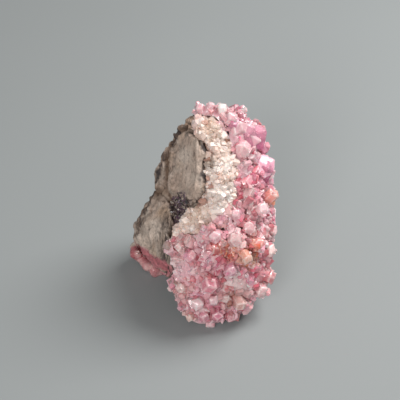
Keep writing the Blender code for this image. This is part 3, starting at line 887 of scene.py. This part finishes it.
def vein_tint(point, _normal, rng):
    """The tint of a grain of the cream calcite that stands there."""
    drift = noise.noise(point / (4 * MM))
    tint = mix(TINTS["cream"], TINTS["milk"], clamp(0.45 + 1.2 * drift))
    name = rng.choice(["white", "milk", "blush", "sand", "cream", "ash"])
    tint = mix(tint, TINTS[name], rng.uniform(0, 0.6))
    tint = in_patches(tint, point, VEIN_PATCHES)
    tint = mix(tint, TINTS["pink"], clamp(1.1 - off_border(point) / 1.6 + 0.8 * drift))
    shade = rng.uniform(0.78, 1.0)
    return tuple(c * shade for c in tint)


def front_over(tree, across, up, width):
    """The place in front of the stone there, as high as a middling part of what a block
    of that width covers."""
    middle = off_display(across, up)
    heights = []
    for i, j in np.ndindex(5, 5):
        off = (DISPLAY_ACROSS * (i - 2) + DISPLAY_UP * (j - 2)) * 0.15 * width
        hit = tree.ray_cast(middle + (off + TO_VIEWER * OUTSIDE) * MM, -TO_VIEWER)[0]
        if hit is not None:
            heights.append((hit - middle).dot(TO_VIEWER))
    return middle + TO_VIEWER * float(np.quantile(heights, BLOCK_FRONT))


def large_blocks(tree, rng):
    """The smooth blocks, as worn prisms."""
    shape = prism(1.1, 0.9, BLOCK_WEAR)
    blocks = []
    for across, up, width, turn, way in BLOCKS:
        axis = (Vector(way) @ Matrix(DISPLAY_AXES.tolist())).normalized()
        front = front_over(tree, across, up, width)
        tint = mix(druse_tint(front, TO_VIEWER, rng), TINTS["candy"], BLOCK_PINK)
        tint = tuple(BLOCK_SHADE * c for c in tint)
        centre = front - TO_VIEWER * width * MM * BLOCK_DEPTH
        blocks.append((shape, centre, axis, turn, width * MM, tint))
    return stamp(blocks, "druse_blocks")


def dark_crystals(rock_mesh, rng):
    """The dark mineral's crystals, in the pocket under the plate."""
    tree = tree_of(rock_mesh)
    crystals = []
    while len(crystals) < DARK_CRYSTALS:
        angle, reach = rng.uniform(0, math.tau), math.sqrt(rng.random())
        across = POCKET_AT[0] + POCKET_HALF_SIZE[0] * reach * math.cos(angle)
        up = POCKET_AT[1] + POCKET_HALF_SIZE[1] * reach * math.sin(angle)
        start = DISPLAY_ACROSS * across + DISPLAY_UP * up + TO_VIEWER * OUTSIDE
        point, normal, _, _ = tree.ray_cast(start * MM + LAYOUT_ORIGIN, -TO_VIEWER)
        shade = rng.choice(["black", "plum", "ash", "black"])
        tint = mix(TINTS[shade], TINTS["umber"], rng.uniform(0, 0.4))
        crystals.append(small_crystal(point, normal, DARK_WIDTHS, tint, rng, DARK_LEAN))
    return stamp(crystals, "dark_crystals")


# --- Materials -------------------------------------------------------------------------


class Nodes:
    """Builds one material's nodes: each method adds a node and returns its output."""

    def __init__(self, name):
        self.material = bpy.data.materials.new(name)
        self.material.use_nodes = True
        self.tree = self.material.node_tree
        self.shader = self.tree.nodes["Principled BSDF"]

    def link(self, value, socket):
        """Feeds a socket from another node's, or sets it."""
        if isinstance(value, bpy.types.NodeSocket):
            self.tree.links.new(value, socket)
        elif isinstance(value, tuple) and socket.type == "RGBA":
            socket.default_value = (*value, 1)
        else:
            socket.default_value = value

    def set(self, **values):
        """Feeds or sets the shader's own sockets."""
        for name, value in values.items():
            self.link(value, self.shader.inputs[name.replace("_", " ")])

    def tint(self):
        """The mesh's own tints."""
        node = self.tree.nodes.new("ShaderNodeAttribute")
        node.attribute_name = "tint"
        return node.outputs["Color"]

    def noise(self, size, detail=4.0, roughness=0.6, distortion=0.0):
        """Noise with lumps about that many mm across."""
        place = self.tree.nodes.new("ShaderNodeTexCoord").outputs["Object"]
        node = self.tree.nodes.new("ShaderNodeTexNoise")
        self.link(place, node.inputs["Vector"])
        node.inputs["Scale"].default_value = 1 / (size * MM)
        node.inputs["Detail"].default_value = detail
        node.inputs["Roughness"].default_value = roughness
        node.inputs["Distortion"].default_value = distortion
        return node.outputs["Fac"]

    def ramp(self, value, *stops):
        """Greys between stops, each a (position, grey)."""
        node = self.tree.nodes.new("ShaderNodeValToRGB")
        self.link(value, node.inputs["Fac"])
        elements = node.color_ramp.elements
        while len(elements) < len(stops):
            elements.new(0.5)
        for element, (position, grey) in zip(elements, stops):
            element.position = position
            element.color = (grey, grey, grey, 1)
        return node.outputs["Color"]

    def blend(self, a, b, share, how="MIX"):
        node = self.tree.nodes.new("ShaderNodeMix")
        node.data_type = "RGBA"
        node.blend_type = how
        self.link(share, node.inputs["Factor"])
        self.link(a, node.inputs[6])
        self.link(b, node.inputs[7])
        return node.outputs[2]

    def bump(self, height, depth, strength=1.0):
        """Relief that many mm deep."""
        node = self.tree.nodes.new("ShaderNodeBump")
        self.link(height, node.inputs["Height"])
        node.inputs["Distance"].default_value = depth * MM
        node.inputs["Strength"].default_value = strength
        self.tree.links.new(node.outputs["Normal"], self.shader.inputs["Normal"])


def rock_material():
    """Dull grainy rock."""
    n = Nodes("grey_rock")
    fine = n.noise(0.7, detail=6, roughness=0.7)
    grains = n.ramp(fine, (0.32, 0.5), (0.5, 0.95), (0.7, 1.3))
    n.set(
        Base_Color=n.blend(n.tint(), grains, 0.8, "MULTIPLY"),
        Roughness=n.ramp(n.noise(1.2), (0.35, 0.45), (0.65, 0.85)),
    )
    n.bump(n.noise(0.4, detail=6, roughness=0.75), 0.2, 0.8)
    return n.material


def granular_material():
    """Sugary calcite, cloudy and dull with some bright grains."""
    n = Nodes("cream_calcite")
    tone_mottle = n.ramp(n.noise(1.2, detail=4), (0.36, 1.1), (0.62, 0.9))
    n.set(
        Base_Color=n.blend(n.tint(), tone_mottle, 0.7, "MULTIPLY"),
        Roughness=n.ramp(n.noise(0.8), (0.35, 0.12), (0.65, 0.5)),
        Subsurface_Weight=0.5,
        Subsurface_Radius=(1.0, 0.8, 0.65),
        Subsurface_Scale=0.35 * MM,
        IOR=CALCITE_IOR,
    )
    n.bump(n.noise(0.5, detail=4, roughness=0.6), 0.06, 0.6)
    return n.material


def crystal_material(name, transmission, roughness):
    """Milky translucent crystal with clouds, white veils and frosted patches."""
    n = Nodes(name)
    cloud = n.ramp(n.noise(1.6, detail=5, distortion=0.4), (0.35, 0.82), (0.6, 1.08))
    veils = n.ramp(n.noise(0.8, detail=6, roughness=0.7), (0.56, 0.0), (0.78, 0.45))
    clear, frosted = roughness
    clouded = n.blend(n.tint(), cloud, 0.8, "MULTIPLY")
    n.set(
        Base_Color=n.blend(clouded, TINTS["white"], veils),
        Roughness=n.ramp(n.noise(1.1, detail=5), (0.4, clear), (0.65, frosted)),
        Transmission_Weight=transmission,
        Subsurface_Weight=0.6,
        Subsurface_Radius=(1.0, 0.6, 0.65),
        Subsurface_Scale=0.8 * MM,
        Specular_IOR_Level=0.42,
        IOR=CALCITE_IOR,
    )
    n.bump(n.noise(0.5, detail=4), 0.04, 0.6)
    return n.material


def dark_material():
    """The dark mineral: nearly black and shiny."""
    n = Nodes("dark_mineral")
    clean = n.ramp(n.noise(0.6), (0.35, 0.6), (0.65, 1.3))
    n.set(Base_Color=n.blend(n.tint(), clean, 0.8, "MULTIPLY"), Roughness=0.22, IOR=1.8)
    n.bump(n.noise(0.3), 0.05)
    return n.material


def floor_material():
    n = Nodes("studio_floor")
    cloud = n.ramp(n.noise(140, detail=2), (0.3, 0.97), (0.7, 1.0))
    n.set(Base_Color=n.blend(FLOOR_TINT, cloud, 1.0, "MULTIPLY"), Roughness=0.75)
    return n.material


# --- The specimen ----------------------------------------------------------------------


def build_specimen():
    rng = random.Random(SEED)
    trees = {name: tree_of(node.data) for name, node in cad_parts.items()}
    rock_tree, vein_tree, druse_tree = (
        trees[name] for name in ("rock", "granular_calcite", "crystal_druse")
    )
    calcite_trees = [tree for name, tree in trees.items() if name != "rock"]

    rock = rock_surface(calcite_trees, trees["foot_crystals"])
    dress(rock, rock_material(), "rock")
    dress(dark_crystals(rock.data, rng), dark_material())

    cream = granular_material()
    vein = vein_surface()
    dress(vein, cream, "granular_calcite")
    # Grains in closed-in places drawn towards brown: painted shade.
    vein_crystals = crystals_on(
        vein.data, "granular_crystals", VEIN_TRIES, VEIN_WIDTHS,
        vein_tint, "brown", 0.8, vein_rule, [rock_tree, druse_tree], rng,
    )  # fmt: skip
    dress(vein_crystals, cream)

    pink = crystal_material("pink_calcite", transmission=0.12, roughness=(0.1, 0.34))
    dress(large_blocks(druse_tree, rng), pink)
    glassy = crystal_material("glassy_calcite", transmission=0.12, roughness=(0.03, 0.2))
    druse = crystal_surface("crystal_druse", "druse_crystals", druse_tint, rng)
    dress(druse, pink, "crystal_druse")
    # Crystals in closed-in places drawn towards the deep tint: a deeper pink and painted
    # shade.
    druse_small = crystals_on(
        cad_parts["crystal_druse"].data, "druse_small_crystals", DRUSE_TRIES,
        DRUSE_WIDTHS, druse_tint, "deep", 0.75, druse_rule, [rock_tree, vein_tree], rng,
    )  # fmt: skip
    dress(druse_small, glassy)

    rose = crystal_material("rose_calcite", transmission=0.1, roughness=(0.12, 0.35))
    dress(foot_surface(), rose, "foot_crystals")


# --- Stage -----------------------------------------------------------------------------


def soft_light(name, place, side, watts):
    lamp = bpy.data.lights.new(name, "AREA")
    lamp.shape = "DISK"
    lamp.size = side
    lamp.energy = watts
    lamp.color = LAMPLIGHT
    obj = new_object(name, lamp)
    obj.location = place
    obj.rotation_mode = "QUATERNION"
    obj.rotation_quaternion = (LAMPS_AIM - obj.location).to_track_quat("-Z", "Y")


def set_stage():
    """The plain floor, the lamps and a dim even sky."""
    bm = bmesh.new()
    bmesh.ops.create_grid(bm, x_segments=8, y_segments=8, size=FLOOR_HALF_SIDE)
    floor = new_object("floor", mesh_from(bm, "floor"))
    floor.data.materials.append(floor_material())
    floor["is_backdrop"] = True

    for lamp in LAMPS:
        soft_light(*lamp)

    world = bpy.data.worlds.new("studio")
    world.use_nodes = True
    sky = world.node_tree.nodes["Background"]
    sky.inputs["Color"].default_value = (*SKYLIGHT, 1)
    sky.inputs["Strength"].default_value = SKY_STRENGTH
    bpy.context.scene.world = world
    bpy.context.scene.view_settings.view_transform = "Standard"


def set_camera():
    lens = bpy.data.cameras.new("camera")
    lens.lens = LENS
    lens.sensor_width = SENSOR
    lens.clip_start = 0.01
    camera = new_object("camera", lens)
    distance = IMAGE_SIDE * MM_PER_PIXEL * MM * LENS / SENSOR
    aim = off_display(*AIM)
    camera.location = aim + TO_VIEWER * distance
    camera.rotation_mode = "QUATERNION"
    camera.rotation_quaternion = (-TO_VIEWER).to_track_quat("-Z", "Y")
    bpy.context.scene.camera = camera


def write_size():
    sizes = {"cad": CAD_BOX, "visual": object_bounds()}
    plain = {name: [list(corner) for corner in box] for name, box in sizes.items()}


build_specimen()
set_stage()
set_camera()
write_size()
